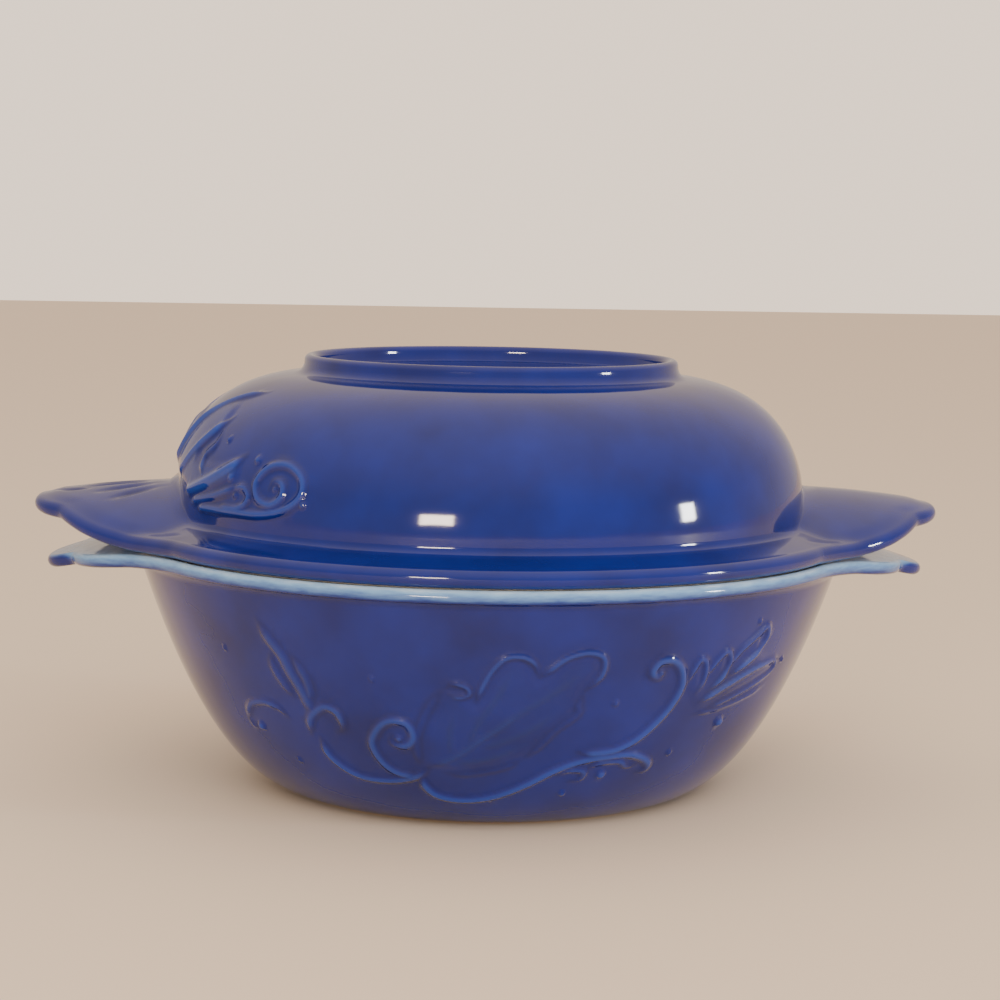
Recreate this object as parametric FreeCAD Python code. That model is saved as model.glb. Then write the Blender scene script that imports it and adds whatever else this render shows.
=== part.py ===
"""Round covered casserole dish in two pieces of moulded, glazed earthenware.

The dish is a bowl on a low foot ring, with a rolled rim and two flat lobed lugs.
The lid is an inverted shallow bowl: its own foot ring is the grip on top, its brim
rests on the dish's rim, and two arched lobed tabs stand over the dish's lugs.
Millimetres, +Z up, origin at the centre of the dish's foot, lugs and tabs along X.
"""
import FreeCAD
import Part
import math
import os

# Dish
dish_height = 76.0          # foot to crest of the rim
dish_rim_radius = 111.0     # outside of the rolled rim
dish_roll_radius = 2.05     # section radius of the rolled rim
dish_wall = 5.0             # wall thickness
dish_floor = 6.5            # floor thickness, foot ring included
foot_radius = 61.0          # outside of the foot ring
foot_width = 6.0            # flat the dish stands on
foot_recess = 2.0           # hollow inside the foot ring
wall_lift = 2.0             # how steeply the wall leaves the foot ring
dish_belly = 19.3           # how far the bowl runs out flat from its foot
dish_flare = 40.3           # how far the bowl follows the lean of its rim
dish_lean = 18.0            # degrees the wall leans outwards under the rim

# Dish lugs
lug_projection = 26.5       # rim to the end of the lug
lug_thickness = 4.2
lug_set_down = 0.2          # top of the lug below the crest of the rim where it starts
lug_droop = 5.8             # how far the lug's end hangs below the rim
lug_middle_fall = 0.3       # share of that droop reached halfway along the lug
lug_root_half_width = 37.0
lug_end_half_width = 13.0   # half width of the small lobe at the end
lug_end_lobe = 8.5          # how far the end lobe stands out past its notches

# Lid
seat_gap = 0.3              # rim of the dish to the brim of the lid
lid_height = 57.7           # underside of the brim to the top of the foot ring
brim_set_back = 0.2         # brim of the lid inside the rim of the dish
lid_roll_radius = 2.7       # section radius of the rolled brim
lid_wall = 4.7
brim_width = 12.3           # rolled edge of the brim in to the dome
shoulder_share = 0.87       # how far the crown runs out over the dome before it turns down
dome_drop = 14.0            # upright stretch of the dome's side
crown_fall = 3.7            # fall of the crown over the shoulder's run
brim_rise = 10.0            # underside of the brim to the dome's foot
ring_radius = 58.3          # outside of the lid's foot ring at its lip
ring_lip_radius = 1.8       # section radius of that lip
ring_height = 5.8           # lip above the crown just outside it
ring_flare = 4.2            # how far the ring spreads at its foot
crown_recess = 5.0          # depth of the hollow inside the ring
locating_depth = 3.2        # locating ridge below the crest of the dish's rim
locating_width = 4.0
locating_clearance = 2.0    # ridge to the inside of the dish

# Lid tabs
tab_projection = 30.2       # rolled edge of the brim to the end of the tab
tab_crest = 17.5            # top of the arch above the underside of the brim
tab_arch_radius = 66.0      # arch of the tab's top, seen from its end
under_flattening = 4.0      # arch of its underside, flatter than the top by this radius
tab_thickness = 5.0         # at the crest
tab_fall = 4.0              # degrees the tab falls towards its end
tab_root_half_width = 39.0
tab_end_half_width = 19.0
tab_end_lobe = 8.5
root_flare_angle = 30.0     # where lugs and tabs leave the round rim, in degrees
root_stand_out = 7.5        # how far the side lobes start outside the round rim
side_lobe_bulge = 3.2

# Small roundings
mouth_narrowing = 0.6       # rim inside to the mouth, over the wall's own thickness
mouth_set_down = 1.0        # mouth below the middle of the rolled rim
hollow_shortening = 2.0     # the bowl's inside follows the lean this much less
brim_fillet_width = 2.0     # rounding between the dome and the brim
brim_fillet_height = 2.4
brim_fillet_bow = 0.6
fillet_middle_fall = 1.4
ring_fillet_share = 0.2     # hollow of the ring's flared side, of its height and spread
web_rise = 0.6              # tabs start this far above the seat
arch_share = 0.9            # half width that the arches are drawn to, of their radius

AXIS = FreeCAD.Vector(0, 0, 1)
CENTRE = FreeCAD.Vector(0, 0, 0)
overshoot = 5.0             # shapes that are trimmed start this far beyond the cut

# Sizes that follow from the ones above
lug_reach = dish_rim_radius + lug_projection
lid_rim_radius = dish_rim_radius - brim_set_back
dome_radius = lid_rim_radius - brim_width
tab_reach = lid_rim_radius + tab_projection
tab_under_radius = tab_arch_radius + under_flattening
dome_shoulder = (dome_radius - ring_radius - ring_flare) * shoulder_share
inside = foot_radius        # lugs and tabs are drawn from here outwards, then trimmed


def at(r, z):
    """Point of a section: distance from the axis, and height."""
    return FreeCAD.Vector(r, 0, z)


def line(a, b):
    return Part.makeLine(a, b)


def arc(a, via, b):
    return Part.Arc(a, via, b).toShape()


def sweep(a, pull_a, pull_b, b):
    """Smooth curve from a to b that starts towards pull_a and arrives from pull_b."""
    curve = Part.BezierCurve()
    curve.setPoles([a, pull_a, pull_b, b])
    return curve.toShape()


def round_over(level, b):
    """Arc that leaves the point level horizontally and ends at the lower point b."""
    across = b.x - level.x
    fall = level.z - b.z
    radius = (across ** 2 + fall ** 2) / (2 * fall)
    half_turn = math.atan2(abs(across), radius - fall) / 2
    step = math.copysign(math.sin(half_turn), across)
    via = level + at(step * radius, (math.cos(half_turn) - 1) * radius)
    return arc(level, via, b)


def bow(a, b, rise):
    """Arc from a to b that bows out to the right of its travel by rise."""
    chord = b - a
    side = chord.cross(AXIS).normalize()
    return arc(a, (a + b) * 0.5 + side * rise, b)


def revolve(edges):
    """Solid of revolution of a closed section about the vertical axis."""
    face = Part.Face(Part.Wire(Part.__sortEdges__(edges)))
    return face.revolve(CENTRE, AXIS, 360)


def lobed_prism(rim_radius, root_half, end_half, reach, end_lobe, height):
    """Upright prism with the plan of one lug: two side lobes and an end lobe."""
    angle = math.radians(root_flare_angle)
    leave_x = rim_radius * math.cos(angle)
    leave_y = rim_radius * math.sin(angle)
    root_x = math.sqrt(rim_radius ** 2 - root_half ** 2) + root_stand_out
    notch_x = reach - end_lobe

    def plan(x, y):
        return FreeCAD.Vector(x, y, 0)

    edges = [
        line(plan(inside, -leave_y), plan(leave_x, -leave_y)),
        line(plan(leave_x, -leave_y), plan(root_x, -root_half)),
        bow(plan(root_x, -root_half), plan(notch_x, -end_half), side_lobe_bulge),
        arc(plan(notch_x, -end_half), plan(reach, 0), plan(notch_x, end_half)),
        bow(plan(notch_x, end_half), plan(root_x, root_half), side_lobe_bulge),
        line(plan(root_x, root_half), plan(leave_x, leave_y)),
        line(plan(leave_x, leave_y), plan(inside, leave_y)),
        line(plan(inside, leave_y), plan(inside, -leave_y)),
    ]
    return Part.Face(Part.Wire(edges)).extrude(AXIS * height)


def opposite(shape):
    """Copy of a lug or tab on the other side of the dish."""
    copy = shape.copy()
    copy.rotate(CENTRE, AXIS, 180)
    return copy


# Places that both pieces use
roll_r = dish_rim_radius - dish_roll_radius
roll_z = dish_height - dish_roll_radius
lean = math.radians(dish_lean)
mouth_radius = roll_r - dish_wall + mouth_narrowing
mouth_z = roll_z - mouth_set_down


def dish_bowl():
    """Bowl with its foot ring and rolled rim, thrown as one wall."""
    wall_foot = at(foot_radius, 0)
    wall_top = at(roll_r, roll_z - dish_roll_radius)
    foot_in = foot_radius - foot_width
    floor_r = foot_radius - dish_wall
    outward = at(math.sin(lean), math.cos(lean))
    mouth = at(mouth_radius, mouth_z)
    crest = at(roll_r, dish_height)
    floor_edge = at(floor_r, dish_floor)
    foot_pull = wall_foot + at(dish_belly, wall_lift)
    lean_pull = wall_top - outward * dish_flare
    mouth_pull = mouth - outward * (dish_flare - hollow_shortening)
    floor_pull = floor_edge + at(dish_belly - mouth_set_down, 0)
    edges = [
        line(at(0, foot_recess), at(foot_in - foot_recess, foot_recess)),
        line(at(foot_in - foot_recess, foot_recess), at(foot_in, 0)),
        line(at(foot_in, 0), wall_foot),
        sweep(wall_foot, foot_pull, lean_pull, wall_top),
        arc(wall_top, at(dish_rim_radius, roll_z), crest),
        round_over(crest, mouth),
        sweep(mouth, mouth_pull, floor_pull, floor_edge),
        line(floor_edge, at(0, dish_floor)),
        line(at(0, dish_floor), at(0, foot_recess)),
    ]
    return revolve(edges)


def dish_lug():
    """Flat lobed lug that leaves the rim level and droops a little."""
    half = lug_thickness / 2
    start_r = (mouth_radius + roll_r) / 2
    far_r = lug_reach + overshoot
    middle_r = (roll_r + far_r) / 2
    start_z = dish_height - lug_set_down - half
    middle_z = start_z - lug_droop * lug_middle_fall
    end_z = start_z - lug_droop
    start = at(start_r, start_z)
    middle = at(middle_r, middle_z)
    end = at(far_r, end_z)
    up = at(0, half)
    edges = [
        arc(start + up, middle + up, end + up),
        line(end + up, end - up),
        arc(end - up, middle - up, start - up),
        line(start - up, start + up),
    ]
    plate = revolve(edges)
    plan = lobed_prism(dish_rim_radius, lug_root_half_width, lug_end_half_width,
                       lug_reach, lug_end_lobe, dish_height * 2)
    return plate.common(plan)


def build_dish():
    lug = dish_lug()
    return dish_bowl().fuse([lug, opposite(lug)]).removeSplitter()


# Heights of the lid above the dish's foot
seat_z = dish_height + seat_gap
lid_top = seat_z + lid_height
crown_z = lid_top - ring_height
brim_roll_r = lid_rim_radius - lid_roll_radius
brim_roll_z = seat_z + lid_roll_radius
dome_foot_z = seat_z + brim_rise


def lid_outside():
    """The lid's outer shape, filled: ring, dome and rolled brim."""
    lip_z = lid_top - ring_lip_radius
    lip_r = ring_radius - ring_lip_radius
    lip_in = ring_radius - 2 * ring_lip_radius
    recess_z = lid_top - crown_recess
    crown_edge = at(ring_radius + ring_flare, crown_z)
    dome_foot = at(dome_radius, dome_foot_z)
    ring_side = at(ring_radius, lip_z)
    hollow = (ring_flare + ring_height - ring_lip_radius) * ring_fillet_share
    ring_hollow = (ring_side + crown_edge) * 0.5 - at(hollow / 2, hollow)
    crown_pull = crown_edge + at(dome_shoulder, -crown_fall)
    dome_pull = dome_foot + at(0, dome_drop)
    fillet_middle = dome_foot + at(brim_fillet_bow, -fillet_middle_fall)
    brim_root = dome_foot + at(brim_fillet_width, -brim_fillet_height)
    brim_top = at(brim_roll_r, brim_roll_z + lid_roll_radius)
    edges = [
        line(at(0, recess_z), at(lip_in, recess_z)),
        line(at(lip_in, recess_z), at(lip_in, lip_z)),
        arc(at(lip_in, lip_z), at(lip_r, lid_top), ring_side),
        arc(ring_side, ring_hollow, crown_edge),
        sweep(crown_edge, crown_pull, dome_pull, dome_foot),
        arc(dome_foot, fillet_middle, brim_root),
        line(brim_root, brim_top),
        arc(brim_top, at(lid_rim_radius, brim_roll_z), at(brim_roll_r, seat_z)),
        line(at(brim_roll_r, seat_z), at(0, seat_z)),
        line(at(0, seat_z), at(0, recess_z)),
    ]
    return revolve(edges)


def lid_hollow():
    """Space under the dome, down to the open underside."""
    ceiling_z = crown_z - lid_wall + (lid_top - crown_z - crown_recess)
    inner_r = dome_radius - lid_wall
    below = seat_z - overshoot
    foot = at(inner_r, below)
    side = at(inner_r, dome_foot_z)
    crown_edge = at(ring_radius, ceiling_z)
    side_pull = side + at(0, dome_drop)
    crown_pull = crown_edge + at(dome_shoulder, -crown_fall)
    edges = [
        line(at(0, below), foot),
        line(foot, side),
        sweep(side, side_pull, crown_pull, crown_edge),
        line(crown_edge, at(0, ceiling_z)),
        line(at(0, ceiling_z), at(0, below)),
    ]
    return revolve(edges)


def locating_ridge():
    """Low ring under the lid that keeps it over the dish's mouth."""
    outer = mouth_radius - locating_clearance
    inner = outer - locating_width
    low = dish_height - locating_depth
    tip = at((inner + outer) / 2, low)
    inner_foot = at(inner, low + locating_width / 2)
    outer_foot = at(outer, low + locating_width / 2)
    edges = [
        line(at(inner, brim_roll_z), inner_foot),
        arc(inner_foot, tip, outer_foot),
        line(outer_foot, at(outer, brim_roll_z)),
        line(at(outer, brim_roll_z), at(inner, brim_roll_z)),
    ]
    return revolve(edges)


def arched_bar(under, top_radius, crest_z):
    """Bar along X whose top is an arch; its underside is an arch or flat."""
    half = tab_arch_radius * arch_share
    start_x = inside
    end_x = tab_reach + overshoot

    def end_on(y, z):
        return FreeCAD.Vector(start_x, y, z)

    top_z = crest_z - top_radius + math.sqrt(top_radius ** 2 - half ** 2)
    low_z = under(half)
    left_low = end_on(-half, low_z)
    right_low = end_on(half, low_z)
    left_top = end_on(-half, top_z)
    right_top = end_on(half, top_z)
    if under(0) > low_z:
        bottom = arc(right_low, end_on(0, under(0)), left_low)
    else:
        bottom = line(right_low, left_low)
    edges = [
        arc(left_top, end_on(0, crest_z), right_top),
        line(right_top, right_low),
        bottom,
        line(left_low, left_top),
    ]
    face = Part.Face(Part.Wire(edges))
    bar = face.extrude(FreeCAD.Vector(end_x - start_x, 0, 0))
    bar.rotate(FreeCAD.Vector(dome_radius, 0, crest_z), FreeCAD.Vector(0, 1, 0), tab_fall)
    return bar


def lid_tab():
    """Arched lobed tab, thin where it stands out and solid over the brim."""
    crest_z = seat_z + tab_crest
    plan = lobed_prism(lid_rim_radius, tab_root_half_width, tab_end_half_width,
                       tab_reach, tab_end_lobe, lid_top)

    def thin(y):
        arch = tab_under_radius - math.sqrt(tab_under_radius ** 2 - y ** 2)
        return crest_z - tab_thickness - arch

    def flat(y):
        return crest_z - tab_arch_radius

    above_seat = Part.makeCylinder(brim_roll_r, lid_height, at(0, brim_roll_z))
    leaf = arched_bar(thin, tab_arch_radius, crest_z).common(plan)
    above_brim = Part.makeCylinder(tab_reach * 2, lid_height, at(0, seat_z + web_rise))
    root = arched_bar(flat, tab_arch_radius, crest_z).common(plan).common(above_seat)
    return leaf.common(above_brim).fuse(root)


def build_lid():
    tab = lid_tab()
    shell = lid_outside().fuse([tab, opposite(tab)]).cut(lid_hollow())
    return shell.fuse(locating_ridge()).removeSplitter()


def main():
    os.makedirs("parts", exist_ok=True)
    for name, shape in (("dish", build_dish()), ("lid", build_lid())):
        print(name, "solids", len(shape.Solids), "valid", shape.isValid(),
              "volume cm3 %.1f" % (shape.Volume / 1000), shape.BoundBox)
        shape.exportStep("parts/%s.step" % name)


main()
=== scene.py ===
# %% [markdown]
# # A covered casserole dish in cobalt-glazed earthenware
#
# The real thing is two pieces of moulded earthenware: a bowl with a rolled rim and two
# flat lobed lugs, and a lid that is a shallow bowl turned over, with a foot ring on top to
# hold it by and two arched tabs over the lugs. Both carry scrolling leaves in low relief
# under a glossy cobalt glaze, and the rim and the inside are left pale.
#
# Each piece could be modelled from separate solids joined together, but clay from a mould
# is one skin that flows from wall to lug. So each piece here is one section, spun into a
# closed shell, then drawn out into its lugs, and the relief is raised on that same skin.

# %% Load the frame
import math
import bpy
import numpy as np
from mathutils import Matrix, Vector
from mathutils.kdtree import KDTree


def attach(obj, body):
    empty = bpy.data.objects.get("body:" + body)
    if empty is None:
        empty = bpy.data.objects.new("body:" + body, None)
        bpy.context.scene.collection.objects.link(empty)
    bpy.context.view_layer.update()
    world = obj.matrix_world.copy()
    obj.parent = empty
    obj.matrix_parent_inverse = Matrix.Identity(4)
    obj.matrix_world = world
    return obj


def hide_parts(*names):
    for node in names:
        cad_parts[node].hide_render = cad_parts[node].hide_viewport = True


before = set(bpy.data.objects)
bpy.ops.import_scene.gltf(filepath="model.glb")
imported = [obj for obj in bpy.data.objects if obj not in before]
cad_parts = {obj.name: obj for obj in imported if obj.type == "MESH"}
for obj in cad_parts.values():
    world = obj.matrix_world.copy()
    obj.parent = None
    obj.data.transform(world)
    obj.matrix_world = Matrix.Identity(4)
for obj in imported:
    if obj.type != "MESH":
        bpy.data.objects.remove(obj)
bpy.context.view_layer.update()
MM = 0.001      # sections are drawn in millimetres, the scene is in metres

# %% [markdown]
# ## The camera
#
# The dish is seen from the front, a little above its lid, from about 0.8 m with a longish
# lens. It could be aimed with a Track To constraint, but the view is also tipped by about
# a degree, so the three axes of the camera are written out and put in its matrix.

# %% Camera
CAMERA_AROUND = math.radians(-3.5)      # the left lug is a little nearer than the right
CAMERA_DISTANCE, CAMERA_HEIGHT = 0.800, 0.1788
CAMERA_PITCH = math.radians(6.43)
CAMERA_ROLL = math.radians(1.0)
camera_place = Vector((CAMERA_DISTANCE * math.sin(CAMERA_AROUND),
                       -CAMERA_DISTANCE * math.cos(CAMERA_AROUND), CAMERA_HEIGHT))
level = Vector((math.cos(CAMERA_AROUND), math.sin(CAMERA_AROUND), 0))
towards = Vector((-math.sin(CAMERA_AROUND), math.cos(CAMERA_AROUND), 0))
ahead = math.cos(CAMERA_PITCH) * towards - math.sin(CAMERA_PITCH) * Vector((0, 0, 1))
upward = level.cross(ahead)
right = math.cos(CAMERA_ROLL) * level + math.sin(CAMERA_ROLL) * upward
top = right.cross(ahead)

camera_data = bpy.data.cameras.new("camera")
camera_data.sensor_width = 36.0
camera_data.lens = 92.16
camera_data.shift_x = 0.011
camera = bpy.data.objects.new("camera", camera_data)
bpy.context.scene.collection.objects.link(camera)
turn = Matrix((right, top, -ahead)).transposed()
camera.matrix_world = Matrix.Translation(camera_place) @ turn.to_4x4()
bpy.context.scene.camera = camera
print("camera at", tuple(camera_place), "lens", camera_data.lens)

# %% [markdown]
# ## Drawing a section
#
# A section is the outline that a template would cut as the clay turns. Ours are made of
# straight runs, arcs and Bezier curves. Short helpers draw those as points, spread points
# evenly along them, and round the crease where two heights meet.

# %% Helpers that draw a section
def bezier(a, pull_a, pull_b, b, steps=200):
    """Points of the cubic curve from a to b."""
    t = np.linspace(0, 1, steps)[:, None]
    a, pull_a, pull_b, b = (np.array(p, float) for p in (a, pull_a, pull_b, b))
    return ((1 - t) ** 3 * a + 3 * (1 - t) ** 2 * t * pull_a
            + 3 * (1 - t) * t ** 2 * pull_b + t ** 3 * b)


def arc(centre, radius, start, end, steps=40):
    """Points round a centre from one angle to another, in degrees."""
    turn = np.radians(np.linspace(start, end, steps))
    return np.array(centre) + radius * np.column_stack([np.cos(turn), np.sin(turn)])


def travelled(path):
    """Distance along a path at each of its points."""
    steps = np.hypot(*np.diff(path, axis=0).T)
    return np.concatenate([[0], np.cumsum(steps)])


def along(path, distances):
    """Points of a path at the given distances along it."""
    s = travelled(path)
    return np.column_stack([np.interp(distances, s, path[:, i]) for i in (0, 1)])


def even(path, count):
    """The path with a number of evenly spaced points."""
    path = np.array(path, float)
    return along(path, np.linspace(0, travelled(path)[-1], count))


def smoothstep(x):
    x = np.clip(x, 0, 1)
    return x * x * (3 - 2 * x)


def smooth_max(a, b, soft):
    """The larger of two heights, with the crease between them rounded."""
    return (a + b + np.sqrt((a - b) ** 2 + soft ** 2)) / 2


EDGE_CROWDING = 1.8     # 1 spaces the rows evenly, more brings them together at the edge


def tongue(there, centre, radius, turn_from, turn_to, back, rows):
    """A skin that goes out to an edge, round it and back, in a fixed number of rows.

    On the plain rim the ways there and back are short and the rows crowd together on the
    roll. On a lug they open out, but stay close together near its edge.
    """
    edge = arc(centre, radius, turn_from, turn_to)
    path = np.vstack([there, edge, back])
    length = travelled(path)[-1]
    quarter = travelled(edge)[-1] / 4
    first = travelled(np.vstack([there, edge[:1]]))[-1] + quarter
    last = length - travelled(np.vstack([edge[-1:], back]))[-1] - quarter
    out_u = np.linspace(0, 1, rows[0] + 1)[:-1]
    back_u = np.linspace(0, 1, rows[2] + 1)[1:]
    stops = np.concatenate([
        first * (1 - (1 - out_u) ** EDGE_CROWDING),
        np.linspace(first, last, rows[1]),
        last + (length - last) * back_u ** EDGE_CROWDING])
    return along(path, stops)


# %% [markdown]
# ## The plan of a lug
#
# Seen from above, each lug leaves the round rim at a slant, swells into two side lobes and
# ends in a third, with a notch between each. A lug could be cut from a plate, but here the
# outline is turned into one number for each direction: how far the edge stands from the
# axis. The section then reads that number and reaches out as far.

# %% Lug outline
PLAN_STEP = 0.25        # degrees between the directions that are worked out
LUG_SECTOR = 30         # degrees each side of a lug's middle within which it leaves the rim
ROOT_RISE = 0.8         # mm that the root of a lug bows out
directions = np.arange(0, 90 + PLAN_STEP, PLAN_STEP)


def bowed(a, b, rise, steps=60):
    """Points from a to b that bow out to the left of the way there."""
    a, b = np.array(a, float), np.array(b, float)
    t = np.linspace(0, 1, steps)[:, None]
    way = (b - a) / np.hypot(*(b - a))
    return a + (b - a) * t + np.array([-way[1], way[0]]) * rise * 4 * t * (1 - t)


def lug_outline(rim, root, notch, reach, bulge, end_fullness, softness):
    """Distance from the axis to the edge, for each direction away from the lug's middle."""
    sector = math.radians(LUG_SECTOR)
    leave = (rim * math.cos(sector), rim * math.sin(sector))
    edge = np.vstack([
        bowed((reach, 0), notch, -end_fullness),
        bowed(notch, root, -bulge),
        bowed(root, leave, ROOT_RISE)])
    angle = np.degrees(np.arctan2(edge[:, 1], edge[:, 0]))
    reach_at = np.hypot(edge[:, 0], edge[:, 1])
    order = np.argsort(angle)
    out = np.interp(directions, angle[order], reach_at[order], right=rim)
    out = np.where(directions > LUG_SECTOR, rim, out)
    mirrored = np.concatenate([out[:0:-1], out])
    width = int(4 * softness / PLAN_STEP)
    weights = np.exp(-0.5 * (np.arange(-width, width + 1) * PLAN_STEP / softness) ** 2)
    smooth = np.convolve(np.pad(mirrored, width, mode="edge"),
                         weights / weights.sum(), mode="valid")
    return np.maximum(smooth[len(out) - 1:], rim)


LID_RIM = 110.8
dish_reach = lug_outline(rim=111.0, root=(112.2, 37.0), notch=(129.0, 13.5), reach=137.5,
                         bulge=3.0, end_fullness=2.6, softness=0.30)
lid_reach = lug_outline(rim=LID_RIM, root=(113.0, 39.0), notch=(132.5, 19.0), reach=141.0,
                        bulge=2.6, end_fullness=3.0, softness=0.45)
print("dish lug reaches", dish_reach.max().round(1), "lid tab", lid_reach.max().round(1))

# %% [markdown]
# ## The section of the dish
#
# The wall starts almost level at the foot ring, swings up and leans out at 18 degrees under
# a small roll. On a lug the roll opens into a plate 4 mm thick that hangs down a little at
# its end. The inside follows about 5 mm away. The numbers are the same sizes as the frame's.

# %% Dish section
FOOT_ROWS, WALL_ROWS, INNER_ROWS = 9, 42, 18
DISH_TONGUE = (11, 10, 15)
DISH_HEIGHT = 76.0
DISH_FLOOR = 6.5        # the inside's floor above the table
FOOT_RECESS = 2.0       # hollow under the foot ring
ROLL = (108.95, 73.95)
ROLL_RADIUS = 2.05
LUG_START, LUG_LENGTH, LUG_DROOP = 109.0, 28.5, 5.8
LUG_BEND = 1.6          # 1 would droop in a straight line, more keeps level for longer
LEAN = np.array([math.sin(math.radians(18)), math.cos(math.radians(18))])
WALL_TOP = np.array([ROLL[0], ROLL[1] - ROLL_RADIUS])
MOUTH = np.array([104.55, 72.95])
dish_wall = bezier((61, 0), (80.3, 2), WALL_TOP - LEAN * 40.3, WALL_TOP)
dish_inner = bezier(MOUTH, MOUTH - LEAN * 38.3, (74.3, DISH_FLOOR), (56, DISH_FLOOR))


def lug_height(r):
    """Middle of the plate of a lug: level at the rim, hanging towards its end."""
    return ROLL[1] - LUG_DROOP * (np.maximum(r - LUG_START, 0) / LUG_LENGTH) ** LUG_BEND


def dish_section(reach):
    """Rows of the dish from the middle of its foot, round the rim, to its floor."""
    end_r = reach - ROLL_RADIUS
    end_z = float(lug_height(end_r))
    plate = np.linspace(ROLL[0], end_r, 24)
    under = np.column_stack([plate, lug_height(plate) - ROLL_RADIUS])
    over = np.column_stack([plate, lug_height(plate) + ROLL_RADIUS])[::-1]
    mouth = bezier((ROLL[0], DISH_HEIGHT), (106.8, DISH_HEIGHT), (105.3, 75.2), MOUTH)
    recess = [(r, FOOT_RECESS) for r in (0, 18, 36, 52.6)]
    foot_ring = [(53.4, 1.7), (54.6, 0.2), (55.2, 0), (58, 0), (60.3, 0)]
    return np.vstack([
        recess, foot_ring,
        even(dish_wall, WALL_ROWS + 1)[:-1] + [0, 0.02],
        tongue(under, (end_r, end_z), ROLL_RADIUS, -90, 90, over, DISH_TONGUE),
        even(mouth, 6)[1:],
        even(dish_inner, INNER_ROWS)[1:],
        [(r, DISH_FLOOR) for r in (46, 32, 16, 0)]])


dish_table = np.array([dish_section(reach) for reach in dish_reach])
dish_rim_row = FOOT_ROWS + WALL_ROWS
dish_mouth_row = dish_rim_row + sum(DISH_TONGUE)
print("dish section rows", dish_table.shape[1])

# %% [markdown]
# ## The section of the lid
#
# From the middle of the top: the shallow recess, the foot ring with its round lip and
# flared side, the dome, the brim and its roll, the flat that rests on the dish, the low
# ridge that keeps the lid in place, and the inside. Towards a tab the brim's roll climbs
# and moves out, and the arch of the tab takes the place of the brim and melts into the
# dome. Under the arch a short wall goes down to the flat, so the brim stays closed.

# %% Lid section
DOME_ROWS, LID_INNER_ROWS = 32, 14
LID_TONGUE = (20, 10, 10)
BRIM_ROLL = (108.1, 79.0)
BRIM_ROLL_RADIUS = 2.7
TAB_EDGE_RADIUS = 2.4
SEAT = BRIM_ROLL[1] - BRIM_ROLL_RADIUS      # flat under the brim that rests on the dish
DOME_RADIUS = 98.5
INNER_RADIUS = 93.8     # inside of the dome
RECESS_TOP = 129.0      # hollow inside the foot ring
CEILING = 124.3         # inside of the lid at its middle
WALL_UNDER_TAB = 108.3  # the short wall that closes the brim under a tab
RIDGE_MIDDLE, RIDGE_RADIUS = (100.55, 74.8), 1.95
TAB_TOP, TAB_FALL, TAB_BEND = 94.0, 0.03, 0.0016    # height, and its fall towards the end
TAB_ARCH = 0.0075       # how fast the arch falls to its sides
BRIM_TOP, BRIM_START, BRIM_SLOPE = 83.9, 100.5, 0.2895
CREASE = 1.2            # mm over which the arch and the brim melt together
dome = bezier((62.5, 128.2), (94, 124.5), (DOME_RADIUS, 100.3), (DOME_RADIUS, 86.3), 800)


def tab_height(r, direction):
    """Top of a tab's arch, which falls towards its sides and a little towards its end."""
    out = r * np.cos(np.radians(direction)) - DOME_RADIUS
    side = r * np.sin(np.radians(direction))
    return TAB_TOP - TAB_FALL * out - TAB_BEND * out ** 2 - TAB_ARCH * side ** 2


def brim_height(r):
    """Top of the brim, which falls gently to its roll."""
    return BRIM_TOP - (r - BRIM_START) * BRIM_SLOPE


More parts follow.
